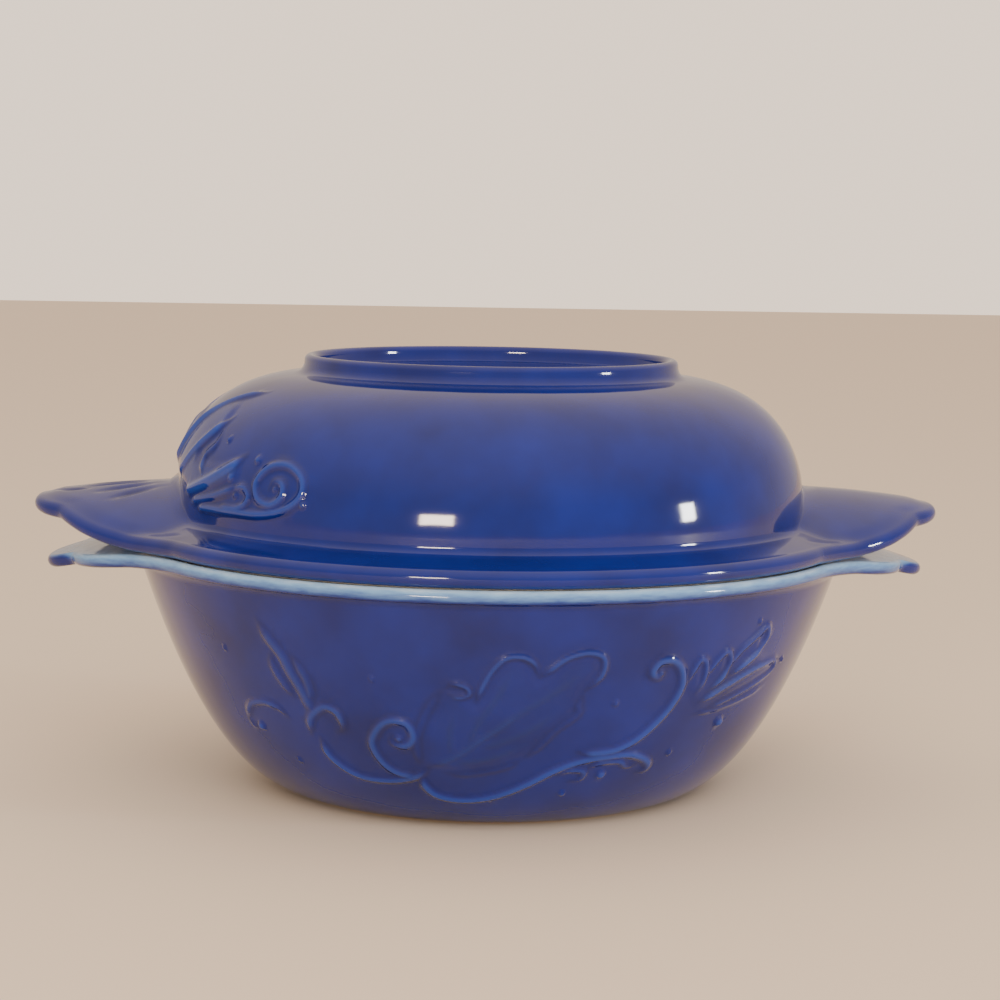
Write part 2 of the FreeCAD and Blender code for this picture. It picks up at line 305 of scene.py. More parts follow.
def lid_section(reach, direction):
    """Rows of the lid from the middle of its top, round the brim or tab, to its inside."""
    drawn_out = smoothstep((reach - LID_RIM) / 5)
    radius = BRIM_ROLL_RADIUS + (TAB_EDGE_RADIUS - BRIM_ROLL_RADIUS) * drawn_out
    end_r = reach - radius

    def top_height(r):
        return smooth_max(brim_height(r), tab_height(r, direction), CREASE)

    # The edge: on the brim's roll, or under the end of the arch where that is higher.
    arch_edge = tab_height(end_r, direction) - 3.0 - radius + TAB_EDGE_RADIUS
    unlifted = smooth_max(BRIM_ROLL[1], -50.0, 0.8)
    end_z = float(smooth_max(BRIM_ROLL[1], arch_edge, 0.8)) + BRIM_ROLL[1] - float(unlifted)
    # The dome, down to the hollow that melts it into the brim or the arch.
    fillet = 1.9 + 5.0 * smoothstep((float(tab_height(DOME_RADIUS, direction)) - 84.5) / 6)
    foot_z = float(top_height(98.4)) + fillet
    foot_r = float(np.interp(-foot_z, -dome[:, 1], dome[:, 0]))
    side = np.vstack([dome[dome[:, 1] > foot_z], [(foot_r, foot_z)]])
    start_r = foot_r + fillet
    corner = (foot_r + 0.05, float(top_height(foot_r)))
    hollow = bezier((foot_r, foot_z), corner, corner, (start_r, float(top_height(start_r))), 30)
    # Out over the brim or the arch, and back under it to the seat.
    run = np.linspace(start_r, end_r, 40)
    rise = end_z + radius - float(top_height(end_r))
    over = np.column_stack([run, top_height(run) + rise * smoothstep((run - end_r + 6) / 6)])
    web_r = min(WALL_UNDER_TAB, end_r - 0.35)
    under_z = SEAT + max(0.0, float(top_height(web_r)) - 5.0 - SEAT) * drawn_out
    back = np.array([(end_r, end_z - radius), (web_r, under_z), (web_r - 0.4, SEAT)])
    # The recess and the foot ring on top.
    recess = [(r, RECESS_TOP) for r in (0, 18, 36, 52)] + [(54.2, 129.1), (54.7, 129.7)]
    lip = arc((56.5, 132.2), 1.8, 180, 0, 12)
    flare = bezier((58.3, 132.2), (58.4, 129.2), (59.6, 128.5), (62.5, 128.2))
    # The locating ridge and the inside.
    ridge = np.vstack([[(103.4, SEAT), (102.6, 76.1), (102.5, RIDGE_MIDDLE[1])],
                       arc(RIDGE_MIDDLE, RIDGE_RADIUS, 0, -180, 9)[1:],
                       [(98.5, 76.1), (97.8, SEAT), (94.6, SEAT), (INNER_RADIUS, 77.0)]])
    inner = bezier((INNER_RADIUS, 86.3), (INNER_RADIUS, 100.3), (89.8, 120.6), (58.3, CEILING))
    return np.vstack([
        recess, lip, even(flare, 7)[1:-1],
        even(side, DOME_ROWS)[:-1],
        tongue(np.vstack([hollow, over[1:]]), (end_r, end_z), radius, 90, -90, back, LID_TONGUE),
        [(106.5, SEAT)], ridge,
        even(inner, LID_INNER_ROWS),
        [(r, CEILING) for r in (46, 32, 16, 0)]])


lid_table = np.array([lid_section(reach, d) for reach, d in zip(lid_reach, directions)])
LID_DOME_ROW = 6 + 12 + 5       # rows of the recess, the lip and the flare
lid_tongue_row = LID_DOME_ROW + DOME_ROWS - 1
lid_seat_row = lid_tongue_row + sum(LID_TONGUE)
print("lid section rows", lid_table.shape[1])

# %% [markdown]
# ## Spinning a section
#
# The plain section is drawn by extruding one vertex from point to point, and the Spin tool
# carries it round the axis. The sectors that hold a lug are spun in half-degree steps, the
# rest in one-degree steps. Each vertex keeps the number of its row, so that it can be put
# in its place afterwards, and the seam and the two poles are closed by merging.

# %% Spin a section into a shell
HALF_LUG = (LUG_SECTOR, 2 * LUG_SECTOR)             # degrees, and steps of the spin
WHOLE_LUG = (2 * LUG_SECTOR, 4 * LUG_SECTOR)
PLAIN_RIM = (180 - 2 * LUG_SECTOR, 180 - 2 * LUG_SECTOR)


def spin_shell(name, section):
    """Closed shell of revolution of a section, its rows numbered in an attribute."""
    bpy.ops.object.select_all(action="DESELECT")
    bpy.ops.mesh.primitive_plane_add(size=MM, location=(0, 0, 0))
    shell = bpy.context.object
    shell.name = shell.data.name = name
    bpy.ops.object.mode_set(mode="EDIT")
    bpy.ops.mesh.merge(type="CENTER")
    points = [Vector((r * MM, 0, z * MM)) for r, z in section]
    bpy.ops.transform.translate(value=points[0])
    for here, there in zip(points, points[1:]):
        bpy.ops.mesh.extrude_region_move(TRANSFORM_OT_translate={"value": there - here})
    bpy.ops.object.mode_set(mode="OBJECT")
    drawn = np.array([v.co for v in shell.data.vertices])
    nearest = [np.linalg.norm(np.array(points) - v, axis=1).argmin() for v in drawn]
    rows = shell.data.attributes.new("row", "FLOAT", "POINT")
    rows.data.foreach_set("value", np.array(nearest, np.float32))
    assert len(set(nearest)) == len(points)
    bpy.ops.object.mode_set(mode="EDIT")
    bpy.ops.mesh.select_all(action="SELECT")
    for degrees, steps in (HALF_LUG, PLAIN_RIM, WHOLE_LUG, PLAIN_RIM, HALF_LUG):
        bpy.ops.mesh.spin(steps=steps, angle=math.radians(degrees), center=(0, 0, 0), axis=(0, 0, 1))
    bpy.ops.mesh.select_all(action="SELECT")
    bpy.ops.mesh.remove_doubles(threshold=0.01 * MM)
    bpy.ops.mesh.normals_make_consistent(inside=False)
    bpy.ops.object.mode_set(mode="OBJECT")
    bpy.ops.object.shade_smooth()
    print(name, "shell:", len(shell.data.vertices), "vertices")
    return shell


def coordinates(mesh):
    """Place of every vertex, one row each, in metres."""
    flat = np.empty(len(mesh.vertices) * 3)
    mesh.vertices.foreach_get("co", flat)
    return flat.reshape(-1, 3)


def rows_of(mesh):
    """Number of the section's row that each vertex belongs to."""
    values = np.empty(len(mesh.vertices), np.float32)
    mesh.attributes["row"].data.foreach_get("value", values)
    return values


def draw_out(piece, table):
    """Move every vertex to where the section for its direction puts it."""
    mesh = piece.data
    co = coordinates(mesh)
    row = np.clip(rows_of(mesh), 0, table.shape[1] - 1.001)
    angle = np.arctan2(co[:, 1], co[:, 0])
    away = np.degrees(np.arctan2(np.abs(co[:, 1]), np.abs(co[:, 0]))) / PLAN_STEP
    away = np.clip(away, 0, len(table) - 1.001)
    i, j = away.astype(int), row.astype(int)
    u, v = (away - i)[:, None], (row - j)[:, None]
    place = ((1 - u) * (1 - v) * table[i, j] + u * (1 - v) * table[i + 1, j]
             + (1 - u) * v * table[i, j + 1] + u * v * table[i + 1, j + 1])
    r, z = place[:, 0] * MM, place[:, 1] * MM
    mesh.vertices.foreach_set("co", np.column_stack([r * np.cos(angle), r * np.sin(angle), z]).ravel())
    mesh.update()


dish = spin_shell("dish_glazed_shell", dish_table[-1])
lid = spin_shell("lid_glazed_shell", lid_table[-1])
draw_out(dish, dish_table)
draw_out(lid, lid_table)

# %% [markdown]
# ## The scrolling leaves
#
# The mould for this ware is carved with tendrils, curls and leaves that swing from side to
# side, one to two millimetres proud of the wall. They could be drawn with a bump map, but a
# highlight shows at once that such a line has no sides. So the lines are laid on the wall
# as curves, the skin beneath them is divided finely, and it is raised by the distance to
# the nearest line. Places are in degrees round the dish from its front and millimetres up.

# %% The curves on the dish
# Each line: width and height of its ridge in mm, then the places that it passes through.
DISH_LINES = {
    "tendril": (1.1, 0.9, [(-49, 30), (-47, 34), (-45, 36), (-42, 37), (-39, 36), (-37, 33)]),
    "tendril tip": (1.1, 0.9, [(-49, 30), (-48, 28), (-46, 29)]),
    "curl arch": (1.3, 1.0, [(-33, 29), (-32, 34), (-30, 37), (-28, 38.5), (-26, 37), (-25.5, 33),
                             (-27, 30.5)]),
    "long stem": (1.2, 1.1, [(-31, 28), (-30.5, 23), (-28, 19), (-24, 16.5), (-18, 16.5), (-13, 18.5),
                             (-10, 22)]),
    "leaf midrib": (0.9, 0.3, [(-10, 22), (-5, 26), (-1, 31), (3, 36), (7, 42)]),
    "volute": (1.3, 1.1, [(-12, 19), (-16, 19), (-19, 22), (-20.5, 28), (-19, 33), (-16.5, 36), (-13.5, 35.5),
                          (-12.5, 31.5), (-14, 28.5), (-16.5, 29), (-16.5, 31.5)]),
    "under stem": (1.3, 1.2, [(-12, 19), (-11.5, 15), (-9, 12), (-4, 11), (2, 12.5), (8, 16.5), (13, 21),
                              (18, 24), (23, 25), (28, 25), (32, 22.5), (33, 19.5), (31, 18.5)]),
    "leaf left edge": (1.4, 0.45, [(-12, 22), (-12, 30), (-10.5, 37), (-8.5, 43), (-6.5, 47)]),
    "leaf second lobe": (0.9, 1.0, [(-1.5, 43), (-0.5, 48), (1, 53), (3, 56.5), (5.5, 57), (7.5, 55),
                                    (8.5, 50.5)]),
    "leaf third lobe": (0.9, 1.0, [(8.5, 50.5), (10, 53), (12.5, 56.5), (16, 58), (18.5, 56), (18.5, 51),
                                   (16, 46)]),
    "leaf right edge": (1.2, 0.5, [(16, 46), (15.5, 42), (15.5, 39), (12, 34), (9.5, 29), (7, 25)]),
    "leaf lower edge": (1.2, 0.4, [(7, 25), (3, 22), (-3, 20), (-8, 20)]),
    "leaf vein 1": (0.9, 0.2, [(-6, 26), (-6, 33), (-5, 40)]),
    "leaf vein 2": (0.9, 0.2, [(-3, 29), (-1, 37), (2, 45), (4, 52)]),
    "leaf vein 3": (0.9, 0.2, [(1, 33.5), (6, 40), (11, 46), (15, 52)]),
    "leaf vein 4": (0.9, 0.2, [(-1, 28.5), (6, 33), (12, 40)]),
    "leaf vein 5": (0.9, 0.2, [(-6, 23.5), (1, 25.5), (7, 30)]),
    "crozier": (1.3, 1.2, [(17, 27), (20, 26.5), (24, 27), (27.5, 29.5), (30.5, 34), (33, 40), (34, 46),
                           (33, 51), (31, 54), (28.5, 54), (27.5, 51), (29, 49), (30, 51)]),
    "frond 1": (1.0, 0.9, [(35, 46), (35.5, 50), (36.5, 53.5), (38, 52), (38.5, 47), (37.5, 43)]),
    "frond 2": (1.0, 0.9, [(38.5, 47), (40, 52), (42, 55), (43.5, 52), (42.5, 47), (40, 43)]),
    "frond 3": (1.0, 0.9, [(43, 49), (45, 54), (48, 58), (50.5, 61), (51.5, 57), (49, 52), (44, 47)]),
    "frond 4": (1.0, 0.8, [(39, 40), (45, 44.5), (51, 48), (57, 49), (58, 46), (54, 43), (48, 40), (41, 37)]),
    "frond 5": (0.9, 0.7, [(39, 36), (46, 37), (53, 39), (58, 41)]),
    "sprig 1": (1.0, 0.9, [(14, 19), (16, 21), (19, 20.5), (19, 18), (16.5, 17)]),
    "sprig 2": (1.0, 0.9, [(19.5, 21), (22, 23), (26, 23), (28, 21), (30.5, 21.5)]),
    "feather 1": (1.9, 0.8, [(-31, 35), (-32, 42), (-33.5, 48), (-34.5, 53), (-36.5, 58), (-38, 63)]),
    "feather 2": (1.6, 0.7, [(-31.5, 38), (-30.5, 44), (-31.5, 50), (-33, 54)]),
    "feather 3": (1.5, 0.6, [(-34, 40), (-36, 45), (-37, 50), (-36.5, 54)]),
    "leaf curl": (0.8, 0.9, [(-6.5, 47), (-5, 48.5), (-3, 47.5), (-2.6, 45.5), (-4.3, 44.4), (-6, 45.4)]),
}
# Each leaf body: how far it swells, then its outline.
DISH_LEAVES = [
    (0.7, [(-12, 21), (-11.5, 33), (-9, 41), (-7, 47), (-4, 47), (-1.5, 43), (0, 50), (3, 56.5), (6.5, 56),
           (8.5, 50.5), (12, 56.5), (17, 58), (18.5, 53), (16, 46), (15.5, 40), (11, 32), (7, 25), (-3, 20)]),
    (0.6, [(35, 44), (36.5, 53), (38.5, 48), (42, 55), (44, 50), (50, 61), (51, 55), (57, 49), (57, 45),
           (48, 40), (40, 36)]),
]
# Each bead: its place and its radius.
DISH_BEADS = [(-45.5, 28.5, 1.5), (-48, 52, 0.9), (-18.5, 48.5, 0.9), (22, 42, 1.0), (-39, 19, 0.9),
              (48, 63, 0.9), (61, 48, 0.9), (47, 32, 1.7), (23, 19, 1.5), (16, 13, 1.1), (37, 24, 1.0),
              (-15.2, 30.5, 1.2), (29, 50.5, 1.2)]
print("dish ornament:", len(DISH_LINES), "lines,", len(DISH_LEAVES), "leaves,", len(DISH_BEADS), "beads")

# %% The curves on the lid
# Degrees here are from the middle of the left tab, and the whole is mirrored across it.
LID_LINES = {
    "volute": (1.2, 1.1, [(25, 90.3), (31, 90.8), (38, 91.2), (45, 91.6), (50.5, 93.8), (53.5, 98), (53, 103),
                          (49.5, 106), (45.5, 105), (43, 100.5), (44, 96), (47, 94.6), (49.4, 97),
                          (49.2, 100.6), (47.3, 101.2), (46.4, 99)]),
    "small curl": (1.0, 1.0, [(33, 92.2), (37, 92), (40.3, 93.2), (41.6, 96), (40, 98.5), (37.4, 97.5),
                              (38, 95.2)]),
    "leaf rib 1": (1.5, 1.1, [(19, 93.5), (24, 96), (30, 99.5), (35, 103.5), (38.5, 107.5)]),
    "leaf rib 2": (1.3, 0.9, [(22, 91.5), (27, 93), (33, 95.5), (39, 99)]),
    "leaf rib 3": (1.4, 1.0, [(12, 97.5), (15, 101), (19, 106.5), (24, 112.5), (27, 117)]),
    "leaf rib 4": (1.4, 1.2, [(5, 99.5), (7, 104), (10, 110.5), (14, 116.5), (20, 121.5), (28, 124.3)]),
    "leaf edge": (1.2, 0.8, [(26, 100), (24.5, 105), (27, 109), (26.5, 113)]),
    "middle rib": (1.4, 1.0, [(0, 99.5), (0, 104), (0, 111), (0, 118)]),
}
LID_LEAVES = [
    (0.9, [(0, 99), (0, 118), (6, 114), (12, 118), (20, 122), (25, 120), (26, 112), (22, 106), (30, 105),
           (37, 107), (38, 100), (31, 95), (23, 92), (13, 96)]),
]
LID_BEADS = [(42, 106.6, 1.3), (36, 101, 1.5), (47.8, 99.2, 1.0), (54, 95.5, 1.2), (31, 111, 1.1),
             (38, 96, 0.9)]
# The palmette on top of the left tab: grooves from the dome outwards, as (out, aside) in mm.
TAB_GROOVES = [
    (1.6, 0.9, [(9, 1.5), (17, 2), (26, 3.5)]),
    (1.6, 0.9, [(7, 6), (14, 8.5), (22, 12)]),
    (1.5, 0.8, [(5, 11), (11, 15), (17, 19)]),
    (1.3, 0.7, [(26, 6.5), (31, 5.5), (35, 2.5)]),
]
print("lid ornament:", len(LID_LINES), "lines")


# %% Lay lines on a wall
SAMPLE = 0.35       # mm between the points that stand for a line
BLUNT = 0.12        # share of its height that a line has at its very ends
RISE, FALL = 5, 7   # mm over which it grows to its full height, and dies away


def through(places):
    """Smooth curve through a list of places (Catmull-Rom)."""
    p = np.array(places, float)
    p = np.vstack([2 * p[0] - p[1], p, 2 * p[-1] - p[-2]])
    t = np.linspace(0, 1, 24, endpoint=False)[:, None]
    runs = [0.5 * (2 * b + (c - a) * t + (2 * a - 5 * b + 4 * c - d) * t ** 2
                   + (3 * b - a - 3 * c + d) * t ** 3)
            for a, b, c, d in zip(p, p[1:], p[2:], p[3:])]
    return np.vstack(runs + [p[-2:-1]])


def on_wall(places, profile, heading):
    """Points in space, in mm, of (degrees, height) places on a turned wall."""
    places = np.asarray(places, float)
    order = np.argsort(profile[:, 1])
    r = np.interp(places[:, 1], profile[order, 1], profile[order, 0])
    turn = np.radians(places[:, 0] + heading)
    return np.column_stack([r * np.sin(turn), -r * np.cos(turn), places[:, 1]])


def lay_lines(lines, profile, heading, flip):
    """Sample points of every line, each with its half width and height there."""
    found = []
    for width, height, places in lines.values():
        curve = through([(flip * a, z) for a, z in places])
        points = on_wall(curve, profile, heading)
        steps = np.linalg.norm(np.diff(points, axis=0), axis=1)
        s = np.concatenate([[0], np.cumsum(steps)])
        stops = np.linspace(0, s[-1], max(3, int(s[-1] / SAMPLE)))
        xyz = np.column_stack([np.interp(stops, s, points[:, i]) for i in range(3)])
        full = np.minimum(smoothstep(stops / RISE), smoothstep((s[-1] - stops) / FALL))
        taper = BLUNT + (1 - BLUNT) * full
        found.append(np.column_stack([xyz, width * (0.6 + 0.4 * taper), height * taper]))
    return np.vstack(found)


# %% [markdown]
# ## Raising the relief
#
# Only the skin near the ornament is divided, so the rest stays light. Then each vertex
# there is moved outwards: by a rounded ridge near a line, with a shallow cushion added
# inside a leaf, or by a bead where that stands higher. Sculpting by hand would do as well,
# but a formula gives both sides of the dish the same leaves. The height is kept as an
# attribute, because molten glaze runs off high places and gathers in low ones.

# %% Divide and raise
NEAR = 2.6          # mm from a line within which the skin is divided and raised
LEAF_SHOULDER = 3.5 # mm over which a leaf rises from its edge
LEAF_SHARE = 0.75   # of its swell that a leaf adds to the lines over it
BEAD_SHARE = 0.75   # how far a bead stands out, of its radius
POOL_DEPTH = 0.6    # how dark the glaze gathers beside a ridge, 1 being full depth


def divide_near(piece, samples, z_low, z_high):
    """Divide the outer faces that lie near the sample points."""
    mesh = piece.data
    tree = KDTree(len(samples))
    for index, point in enumerate(samples):
        tree.insert(point * MM, index)
    tree.balance()
    co = coordinates(mesh)
    row = rows_of(mesh)
    first, last = outer_rows[piece.name]
    chosen = []
    for face in mesh.polygons:
        outside = first <= row[face.vertices[0]] < last
        if outside and z_low < face.center.z / MM < z_high and tree.find(face.center)[2] < NEAR * MM:
            chosen.append(face.index)
    bpy.ops.object.select_all(action="DESELECT")
    piece.select_set(True)
    bpy.context.view_layer.objects.active = piece
    mesh.polygons.foreach_set("select", np.isin(np.arange(len(mesh.polygons)), chosen))
    mesh.edges.foreach_set("select", np.zeros(len(mesh.edges), bool))
    mesh.vertices.foreach_set("select", np.zeros(len(mesh.vertices), bool))
    for index in chosen:
        for v in mesh.polygons[index].vertices:
            mesh.vertices[v].select = True
    bpy.ops.object.mode_set(mode="EDIT")
    bpy.ops.mesh.select_mode(type="FACE")
    bpy.ops.mesh.subdivide(number_cuts=2, quadcorner="INNERVERT")
    bpy.ops.mesh.select_mode(type="VERT")
    bpy.ops.object.mode_set(mode="OBJECT")
    print(piece.name, "faces divided", len(chosen), "now", len(mesh.polygons))


def inside(polygon, x, y):
    """Whether each point lies inside a closed outline."""
    hit = np.zeros(len(x), bool)
    for (x0, y0), (x1, y1) in zip(polygon, np.roll(polygon, -1, axis=0)):
        if y0 == y1:
            continue
        crosses = (y0 > y) != (y1 > y)
        hit ^= crosses & (x < (x1 - x0) * (y - y0) / (y1 - y0) + x0)
    return hit


def outline_distance(polygon, x, y, mm_per_degree):
    """Distance in mm from each point to a closed outline of (degrees, mm) places."""
    best = np.full(len(x), 1e9)
    for (x0, y0), (x1, y1) in zip(polygon, np.roll(polygon, -1, axis=0)):
        ax, ay = (x - x0) * mm_per_degree, y - y0
        bx, by = (x1 - x0) * mm_per_degree, y1 - y0
        t = np.clip((ax * bx + ay * by) / (bx * bx + by * by + 1e-9), 0, 1)
        best = np.minimum(best, np.hypot(ax - t * bx, ay - t * by))
    return best


def relief_heights(co, samples, leaves, beads, headings, profile):
    """Height of the ornament in mm above the plain wall at each vertex."""
    raised = np.zeros(len(co))
    pool = np.zeros(len(co))
    tree = KDTree(len(samples))
    for index, point in enumerate(samples[:, :3]):
        tree.insert(point, index)
    tree.balance()
    for k, point in enumerate(co):
        for _, index, distance in tree.find_range(point, NEAR):
            width, height = samples[index, 3:5]
            ridge = height * math.exp(-(distance / width) ** 2)
            if ridge > raised[k]:
                raised[k] = ridge
        if raised[k] > 0.02:
            pool[k] = min(1.0, 4 * raised[k]) * (1 - smoothstep((raised[k] - 0.05) / 0.4))
    r = np.hypot(co[:, 0], co[:, 1])
    turned = np.degrees(np.arctan2(co[:, 0], -co[:, 1]))
    for heading, flip in headings:
        local = flip * ((turned - heading + 180) % 360 - 180)
        for swell, outline in leaves:
            polygon = through(outline + outline[:1])[:-1]
            near = np.abs(local - np.mean(polygon[:, 0])) < np.ptp(polygon[:, 0]) * 0.75
            index = np.flatnonzero(near)
            if not len(index):
                continue
            x, y = local[index], co[index, 2]
            depth = outline_distance(polygon, x, y, np.radians(r[index]))
            body = np.where(inside(polygon, x, y), swell * smoothstep(depth / LEAF_SHOULDER), 0)
            raised[index] += body * LEAF_SHARE
        centres = on_wall([(flip * a, z) for a, z, _ in beads], profile, heading)
        for centre, (_, _, radius) in zip(centres, beads):
            away = np.linalg.norm(co - centre, axis=1)
            bead = radius * BEAD_SHARE * np.sqrt(np.clip(1 - (away / radius) ** 2, 0, 1))
            raised = np.maximum(raised, bead)
    return raised, pool * POOL_DEPTH


def tab_grooves(co, grooves):
    """Depth in mm of the palmette pressed into the top of the left tab."""
    depth = np.zeros(len(co))
    out, aside = -co[:, 0] - DOME_RADIUS, np.abs(co[:, 1])
    for width, deep, places in grooves:
        curve = through(places)
        for k in np.flatnonzero((out > 2) & (out < 40)):
            d = np.hypot(curve[:, 0] - out[k], curve[:, 1] - aside[k])
            nearest = d.argmin()
            ends = min(nearest, len(curve) - 1 - nearest) / (0.35 * len(curve))
            cut = deep * math.exp(-(d[nearest] / width) ** 2) * (0.3 + 0.7 * min(1.0, ends))
            depth[k] = max(depth[k], cut)
    return depth


def tab_marks():
    """Points along the grooves on the left tab, where the skin is divided too."""
    places = np.vstack([through(places) for _, _, places in TAB_GROOVES])
    places = np.vstack([places, places * [1, -1]])
    x, y = DOME_RADIUS + places[:, 0], places[:, 1]
    z = tab_height(np.hypot(x, y), np.degrees(np.arctan2(y, x)))
    return np.column_stack([-x, y, z])


def raise_relief(piece, table, lines, leaves, beads, headings, z_low, z_high, profile):
    """Divide the skin under the ornament and move it out to the ornament's height."""
    samples = np.vstack([lay_lines(lines, profile, heading, flip) for heading, flip in headings])
    dots = np.vstack([on_wall([(flip * a, z) for a, z, _ in beads], profile, heading)
                      for heading, flip in headings])
    rims = np.vstack([on_wall([(flip * a, z) for a, z in through(outline + outline[:1])],
                              profile, heading)
                      for heading, flip in headings for _, outline in leaves])
    marks = [samples[:, :3], dots, rims]
    if piece is lid:
        marks.append(tab_marks())
    divide_near(piece, np.vstack(marks), z_low, z_high)
    draw_out(piece, table)
    mesh = piece.data
    co = coordinates(mesh)
    normals = np.empty(len(mesh.vertices) * 3)
    mesh.vertex_normals.foreach_get("vector", normals)
    normals = normals.reshape(-1, 3)
    row = rows_of(mesh)
    low, high = outer_rows[piece.name]
    zone = np.flatnonzero((row >= low) & (row <= high)
                          & (co[:, 2] > z_low * MM) & (co[:, 2] < z_high * MM))
    heights, pools = np.zeros(len(co)), np.zeros(len(co))
    heights[zone], pools[zone] = relief_heights(co[zone] / MM, samples, leaves, beads, headings, profile)
    if piece is lid:
        heights *= smoothstep((lid_tongue_row + 2.5 - row) / 5)     # fades at the dome's foot
    mesh.vertices.foreach_set("co", (co + normals * heights[:, None] * MM).ravel())
    if piece is lid:
        on_tab = np.flatnonzero((co[:, 0] < -0.100) & (row > lid_tongue_row)
                                & (row < lid_tongue_row + LID_TONGUE[0]))
        cut = tab_grooves(co[on_tab] / MM, TAB_GROOVES)
        moved = coordinates(mesh)
        moved[on_tab, 2] -= cut * MM
        mesh.vertices.foreach_set("co", moved.ravel())
        pools[on_tab] = np.maximum(pools[on_tab], cut * POOL_DEPTH)
    for name, values in (("relief", heights), ("pool", pools)):
        stored = mesh.attributes.new(name, "FLOAT", "POINT")
        stored.data.foreach_set("value", values.astype(np.float32))
    mesh.update()
    triangles = sum(len(p.vertices) - 2 for p in mesh.polygons)
    print(piece.name, "relief up to %.2f mm," % heights.max(), triangles, "triangles")


FRONT = math.degrees(CAMERA_AROUND)     # the leaves are centred on the side that is seen
outer_rows = {dish.name: (FOOT_ROWS, dish_rim_row + 1),
              lid.name: (LID_DOME_ROW, lid_tongue_row + LID_TONGUE[0])}
dome_profile = np.vstack([dome, [(DOME_RADIUS, 84)]])
raise_relief(dish, dish_table, DISH_LINES, DISH_LEAVES, DISH_BEADS, [(FRONT, 1), (FRONT + 180, 1)],
             3, 70, dish_wall)
raise_relief(lid, lid_table, LID_LINES, LID_LEAVES, LID_BEADS, [(-90, 1), (-90, -1)],
             85, 127, dome_profile)

# %% [markdown]
# ## Colours and nodes
#
# Colours are written as the eye sees them, in sRGB hex, and turned to the linear values
# that light works with. One helper adds a node, sets it and links it.

# %% Colour and node helpers
def colour(code):
    """Linear colour of an sRGB hex value."""
    parts = [int(code[i:i + 2], 16) / 255 for i in (1, 3, 5)]
    return [c / 12.92 if c <= 0.04045 else ((c + 0.055) / 1.055) ** 2.4 for c in parts] + [1.0]


def add_node(owner, kind, inputs=None, **settings):
    """Add a node to a material or a world, set it, and give its inputs values or links."""
    tree = owner.node_tree
    node = tree.nodes.new(kind)
    for name, value in settings.items():
        setattr(node, name, value)
    for name, value in (inputs or {}).items():
        if isinstance(value, bpy.types.NodeSocket):
            tree.links.new(value, node.inputs[name])
        else:
            node.inputs[name].default_value = value
    return node


def new_material(name):
    material = bpy.data.materials.new(name)
    material.use_nodes = True
    material.node_tree.nodes.clear()
    return material


def finish_material(material, **shader):
    """Principled shader with its output."""
    inputs = {name.replace("_", " "): value for name, value in shader.items()}
    surface = add_node(material, "ShaderNodeBsdfPrincipled", inputs)
    add_node(material, "ShaderNodeOutputMaterial", {"Surface": surface.outputs["BSDF"]})
    return surface


# %% [markdown]
# ## Cobalt glaze
#
# The outside is a clear glaze stained with cobalt over a pale body, dipped and fired
# glossy. It is deepest where it lies thick, in the hollows beside the relief, and thins to
# a paler blue on ridges and to light blue on the dish's rim, where it was wiped back. The
# surface has a faint waviness. A layered glass shader could do this, but one principled
# shader with its colour driven by thickness looks the same.

# %% Cobalt glaze material
cobalt = new_material("cobalt glazed earthenware")
place = add_node(cobalt, "ShaderNodeTexCoord").outputs["Object"]
relief = add_node(cobalt, "ShaderNodeAttribute", attribute_name="relief").outputs["Fac"]
pool = add_node(cobalt, "ShaderNodeAttribute", attribute_name="pool").outputs["Fac"]
thickness = add_node(cobalt, "ShaderNodeAttribute", attribute_name="glaze").outputs["Fac"]

# The ground colour varies in clouds 22 mm across.
cloud = add_node(cobalt, "ShaderNodeTexNoise",
                 {"Vector": place, "Scale": 1 / 0.022, "Detail": 3.0}).outputs["Fac"]
clouded = add_node(cobalt, "ShaderNodeMapRange",
                   {"Value": cloud, "From Min": 0.3, "From Max": 0.7}).outputs["Result"]
ground = add_node(cobalt, "ShaderNodeMix", {"Factor": clouded, "A": colour("#04145C"),
                                            "B": colour("#061C74")}, data_type="RGBA")

# It is paler on ridges and darker in the pools beside them.
on_ridge = add_node(cobalt, "ShaderNodeMapRange", {"Value": relief, "From Min": 0.5, "From Max": 1.2,
                                                   "To Max": 0.45}).outputs["Result"]
worn = add_node(cobalt, "ShaderNodeMix", {"Factor": on_ridge, "A": ground.outputs["Result"],
                                          "B": colour("#2A50AE")}, data_type="RGBA")
deep = add_node(cobalt, "ShaderNodeMix", {"Factor": pool, "A": worn.outputs["Result"],
                                          "B": colour("#060D38")}, data_type="RGBA")

# Where the glaze is thin its depth is uneven, in level streaks 7 mm long.
flattened = add_node(cobalt, "ShaderNodeMapping",
                     {"Vector": place, "Scale": (1.0, 1.0, 6.0)}).outputs["Vector"]
streaks = add_node(cobalt, "ShaderNodeTexNoise", {"Vector": flattened, "Scale": 1 / 0.007,
                                                  "Detail": 4.0, "Roughness": 0.6}).outputs["Fac"]
uneven = add_node(cobalt, "ShaderNodeMath", {0: streaks, 1: 0.5}, operation="SUBTRACT").outputs[0]
thin = add_node(cobalt, "ShaderNodeMath", {0: 1.02, 1: thickness}, operation="SUBTRACT").outputs[0]
patchy = add_node(cobalt, "ShaderNodeMath", {0: uneven, 1: thin}, operation="MULTIPLY").outputs[0]
fade = add_node(cobalt, "ShaderNodeMath", {0: thickness, 1: patchy}, operation="ADD").outputs[0]

